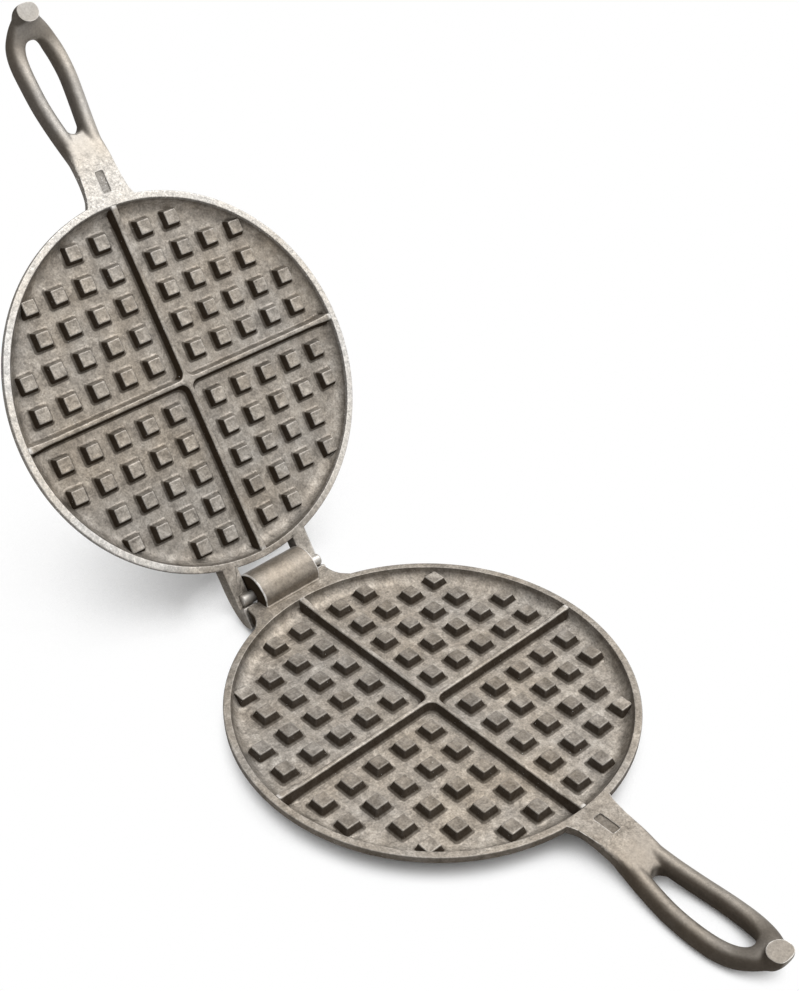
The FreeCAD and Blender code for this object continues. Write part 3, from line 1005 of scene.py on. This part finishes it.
def cast_iron(name):
    # bare sand casting: fine grain over a coarser relief, bright worn edges with a painted highlight round
    # the hook's ends, dark crust and painted shade on steep sides, dirt and painted shade in corners, a
    # painted brighter upper face, and painted glints
    material = bpy.data.materials.new(name)
    material.use_nodes = True
    tree = material.node_tree
    shader = tree.nodes["Principled BSDF"]
    place = tree.nodes.new("ShaderNodeTexCoord").outputs["Object"]
    wear_and_highlight = add_node(tree, "Attribute", attribute_name="edge_wear_and_highlight").outputs["Fac"]
    corner_dirt_shade = add_node(tree, "Attribute", attribute_name="corner_dirt_and_shade").outputs["Fac"]
    sleek = add_node(tree, "Attribute", attribute_name="smoothness").outputs["Fac"]
    crust_shade_mask = add_node(tree, "Attribute", attribute_name="crust_and_shade").outputs["Fac"]
    face_light = add_node(tree, "Attribute", attribute_name="face_light").outputs["Fac"]
    grain = noise_at(tree, place, GRAIN_SIZE, 2, 0.65)
    relief = noise_at(tree, place, RELIEF_SIZE, 3, 0.6)
    mottle = noise_at(tree, place, MOTTLE_SIZE, 4, 0.6)
    patch = noise_at(tree, place, PATCH_SIZE, 3, 0.55)

    base = ramp(tree, mottle, MOTTLE_STOPS)
    base = blend_colours(tree, sum_of(tree, "MULTIPLY", sleek, SLEEK_SHARE), base, (*IRON_GRIP, 1))
    # painted light: the upper half's face made brighter
    base = blend_colours(tree, sum_of(tree, "MULTIPLY", face_light, FACE_LIGHT_SHARE), base, (*IRON_FACE_LIGHT, 1))
    grainy = sum_of(tree, "MULTIPLY_ADD", sleek, SLEEK_GRAIN, GRAIN_SHARE)
    for value, stops in ((grain, SPECK_STOPS), (relief, CLOUD_STOPS)):
        base = blend_colours(tree, grainy, base, ramp(tree, value, stops), "MULTIPLY")
    base = blend_colours(tree, 1.0, base, ramp(tree, patch, WARM_STOPS), "MULTIPLY")

    # crust, smoke and painted shade, and dirt with painted shade in corners, darken the iron and dull its
    # shine
    crust_dirt_shade_share = sum_of(tree, "MULTIPLY", crust_shade_mask, CRUST_SHADE_DEPTH)
    # concave corners darkened with dirt and painted shade
    crust_dirt_shade_share = sum_of(tree, "MAXIMUM", crust_dirt_shade_share, sum_of(tree, "MULTIPLY", corner_dirt_shade, CORNER_DIRT_SHADE_SHARE))
    base = blend_colours(tree, crust_dirt_shade_share, base, (*IRON_SOOT_AND_SHADE, 1))
    # worn edges and the painted highlight round the hook's ends
    worn_and_lit = sum_of(tree, "MULTIPLY", wear_and_highlight, ramp(tree, relief, BREAKUP_STOPS))
    base = blend_colours(tree, worn_and_lit, base, (*IRON_WORN_AND_LIT, 1))
    # painted glints: bright specks, most on the upper half's brighter face and fewest on the grips
    glint = sum_of(tree, "MULTIPLY_ADD", face_light, FACE_LIGHT_GLINT, noise_at(tree, place, GLINT_SIZE, 2, 0.6))
    glint = sum_of(tree, "MULTIPLY_ADD", sleek, SLEEK_GLINT, glint)
    base = blend_colours(tree, ramp(tree, glint, SPARK_STOPS), base, (*IRON_SPARK, 1))
    tree.links.new(base, shader.inputs["Base Color"])

    rough = sum_of(tree, "MULTIPLY_ADD", mottle, MOTTLE_ROUGH, IRON_ROUGH)
    rough = sum_of(tree, "MULTIPLY_ADD", sleek, SLEEK_ROUGH, rough)
    tree.links.new(rough, shader.inputs["Roughness"])
    bare = sum_of(tree, "MULTIPLY_ADD", crust_dirt_shade_share, -IRON_METAL, IRON_METAL)
    tree.links.new(bare, shader.inputs["Metallic"])
    shader.inputs["Specular IOR Level"].default_value = 0.0
    bump = add_node(tree, "Bump", Distance=BUMP_DEPTH * MM)
    strength = sum_of(tree, "MULTIPLY_ADD", sleek, SLEEK_BUMP, BUMP_STRENGTH)
    tree.links.new(strength, bump.inputs["Strength"])
    tree.links.new(sum_of(tree, "MULTIPLY_ADD", relief, RELIEF_BUMP, grain), bump.inputs["Height"])
    tree.links.new(bump.outputs["Normal"], shader.inputs["Normal"])
    return material


STEEL_METAL = 0.9
STEEL_ROUGH = 0.34
LINE_ROUGH = 0.15
LINE_SIZE = 0.5
LINE_STRETCH = (1, 0.12, 1)
LINE_DEPTH = 0.06
STAIN_SIZE = 6.0
STAIN_STOPS = [(0.3, (0.38, 0.355, 0.32)), (0.65, (0.52, 0.5, 0.47))]


def drawn_steel(name):
    # plain bar, brighter than the casting, with fine marks along it from drawing
    material = bpy.data.materials.new(name)
    material.use_nodes = True
    tree = material.node_tree
    shader = tree.nodes["Principled BSDF"]
    place = tree.nodes.new("ShaderNodeTexCoord").outputs["Object"]
    stretch = add_node(tree, "Mapping")
    stretch.inputs["Scale"].default_value = LINE_STRETCH
    tree.links.new(place, stretch.inputs["Vector"])
    lines = noise_at(tree, stretch.outputs["Vector"], LINE_SIZE, 3, 0.6)
    stain = noise_at(tree, place, STAIN_SIZE, 4, 0.6)
    tree.links.new(ramp(tree, stain, STAIN_STOPS), shader.inputs["Base Color"])
    rough = sum_of(tree, "MULTIPLY_ADD", lines, LINE_ROUGH, STEEL_ROUGH)
    tree.links.new(rough, shader.inputs["Roughness"])
    shader.inputs["Metallic"].default_value = STEEL_METAL
    bump = add_node(tree, "Bump", Distance=LINE_DEPTH * MM, Strength=0.3)
    tree.links.new(lines, bump.inputs["Height"])
    tree.links.new(bump.outputs["Normal"], shader.inputs["Normal"])
    return material


def seat(piece, node, body, material):
    piece.data.materials.clear()
    piece.data.materials.append(material)
    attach(piece, body)
    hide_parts(node)


# the floor, in metres
FLOOR_REACH = 8.0
FLOOR_SWEEP = 2.0
FLOOR_STEPS = 64
FLOOR_SINK = 0.0002
FLOOR_PALE = 0.75
FLOOR_ROUGH = 0.9
SHADE_SAMPLES = 8
SHADE_NEAR = 0.03
NEAR_STOPS = [(0.29, grey(0)), (0.63, grey(1))]
SHADE_FAR = 0.3
FAR_STOPS = [(0.52, grey(0)), (0.7, grey(1))]


def open_share(tree, reach):
    made = add_node(tree, "AmbientOcclusion", samples=SHADE_SAMPLES, Distance=reach)
    return made.outputs["AO"]


def make_floor():
    # pale round floor that sweeps up all round, white to the eye and in the metal except in shadow
    spots, faces = [], []
    sweep = arc(FLOOR_REACH, FLOOR_SWEEP - FLOOR_SINK, FLOOR_SWEEP, 270, 345, 10)
    for radius, z in sweep:
        spots += [(*polar(0, 0, radius, 360 * k / FLOOR_STEPS), z) for k in range(FLOOR_STEPS)]
    for low in range(0, FLOOR_STEPS * (len(sweep) - 1), FLOOR_STEPS):
        for k in range(FLOOR_STEPS):
            after = (k + 1) % FLOOR_STEPS
            faces.append((low + k, low + after, low + FLOOR_STEPS + after, low + FLOOR_STEPS + k))
    floor = piece_from("floor", spots, [tuple(range(FLOOR_STEPS))] + faces)

    material = bpy.data.materials.new("pale_floor")
    material.use_nodes = True
    tree = material.node_tree
    shader = tree.nodes["Principled BSDF"]
    shader.inputs["Base Color"].default_value = grey(FLOOR_PALE)
    shader.inputs["Roughness"].default_value = FLOOR_ROUGH
    shader.inputs["Specular IOR Level"].default_value = 0.0
    glow = add_node(tree, "Emission")
    path = tree.nodes.new("ShaderNodeLightPath").outputs
    seen = sum_of(tree, "MAXIMUM", path["Is Camera Ray"], path["Is Glossy Ray"])
    seen = sum_of(tree, "MAXIMUM", seen, path["Is Transmission Ray"])
    near = open_share(tree, SHADE_NEAR)
    beyond = sum_of(tree, "DIVIDE", open_share(tree, SHADE_FAR), near)
    for share, stops in ((near, NEAR_STOPS), (beyond, FAR_STOPS)):
        seen = sum_of(tree, "MULTIPLY", seen, ramp(tree, share, stops))
    mix = tree.nodes.new("ShaderNodeMixShader")
    tree.links.new(seen, mix.inputs[0])
    tree.links.new(shader.outputs[0], mix.inputs[1])
    tree.links.new(glow.outputs[0], mix.inputs[2])
    tree.links.new(mix.outputs[0], tree.nodes["Material Output"].inputs["Surface"])
    floor.data.materials.append(material)


KEY_TOWARDS = (0.09, 0.5, 0.86)
KEY_ENERGY = 1.2
KEY_ANGLE = 45
# brightness of the sky by closeness to a direction: 0 is the opposite side, 1 is straight at it
SKY_TOWARDS = (0.1, 0.33, 0.94)
SKY_STOPS = [(0.5, 0.02), (0.6, 0.1), (0.72, 0.6), (0.82, 1.42)]
SIDE_TOWARDS = (0.38, -0.8, 0.42)
SIDE_STOPS = [(0.9, 0.0), (0.97, 0.5)]


def make_light():
    # a broad soft light from above, the back and the right of the view, and a small dim one from the front
    key = bpy.data.lights.new("key", "SUN")
    key.energy = KEY_ENERGY
    key.angle = math.radians(KEY_ANGLE)
    lamp = bpy.data.objects.new("key", key)
    lamp.rotation_euler = Vector(KEY_TOWARDS).to_track_quat("Z", "Y").to_euler()
    bpy.context.scene.collection.objects.link(lamp)
    world = bpy.data.worlds.new("studio")
    bpy.context.scene.world = world
    world.use_nodes = True
    tree = world.node_tree
    ground = tree.nodes["Background"]
    place = tree.nodes.new("ShaderNodeTexCoord").outputs["Generated"]
    shades = []
    for towards, stops in ((SKY_TOWARDS, SKY_STOPS), (SIDE_TOWARDS, SIDE_STOPS)):
        side = add_node(tree, "VectorMath", operation="DOT_PRODUCT")
        side.inputs[1].default_value = Vector(towards).normalized()
        tree.links.new(place, side.inputs[0])
        closeness = sum_of(tree, "MULTIPLY_ADD", side.outputs["Value"], 0.5, 0.5)
        shades.append(ramp(tree, closeness, [(spot, grey(level)) for spot, level in stops]))
    tree.links.new(blend_colours(tree, 1.0, *shades, "ADD"), ground.inputs["Color"])
    ground.inputs["Strength"].default_value = 1.0


CAMERA_PLACE = (0.375877, -0.383133, 0.523233)
CAMERA_AZIMUTH = 136.7685
CAMERA_FALL = 33.9675
CAMERA_ROLL = 0.4582
FOCAL_PIXELS = 1613.526
PHOTO_SIZE = (799, 991)
AXIS_PIXEL = (386.533, 421.338)


def make_camera():
    camera = bpy.data.cameras.new("camera")
    camera.sensor_width = 36.0
    camera.lens = FOCAL_PIXELS * camera.sensor_width / max(PHOTO_SIZE)
    camera.shift_x = (PHOTO_SIZE[0] / 2 - AXIS_PIXEL[0]) / max(PHOTO_SIZE)
    camera.shift_y = (AXIS_PIXEL[1] - PHOTO_SIZE[1] / 2) / max(PHOTO_SIZE)
    holder = bpy.data.objects.new("camera", camera)
    holder.location = CAMERA_PLACE
    turn = Euler((math.radians(90 - CAMERA_FALL), 0, math.radians(CAMERA_AZIMUTH - 90)))
    roll = Matrix.Rotation(math.radians(CAMERA_ROLL), 3, "Z")
    holder.rotation_euler = (turn.to_matrix() @ roll).to_euler()
    bpy.context.scene.collection.objects.link(holder)
    bpy.context.scene.camera = holder


iron = cast_iron("cast_iron")
seat(half("lower_casting", False), "lower_half", "lower", iron)
seat(half("upper_casting", True), "upper_half", "upper", iron)

pin = hinge_pin()
pin.data.transform(seat_matrix(True))
pin.data.shade_smooth()
pin.data.set_sharp_from_angle(angle=math.radians(PIN_SHADE_ANGLE))
seat(pin, "hinge_pin", "upper", drawn_steel("drawn_steel"))

make_floor()
make_light()
make_camera()
bpy.context.scene.view_settings.view_transform = "Standard"
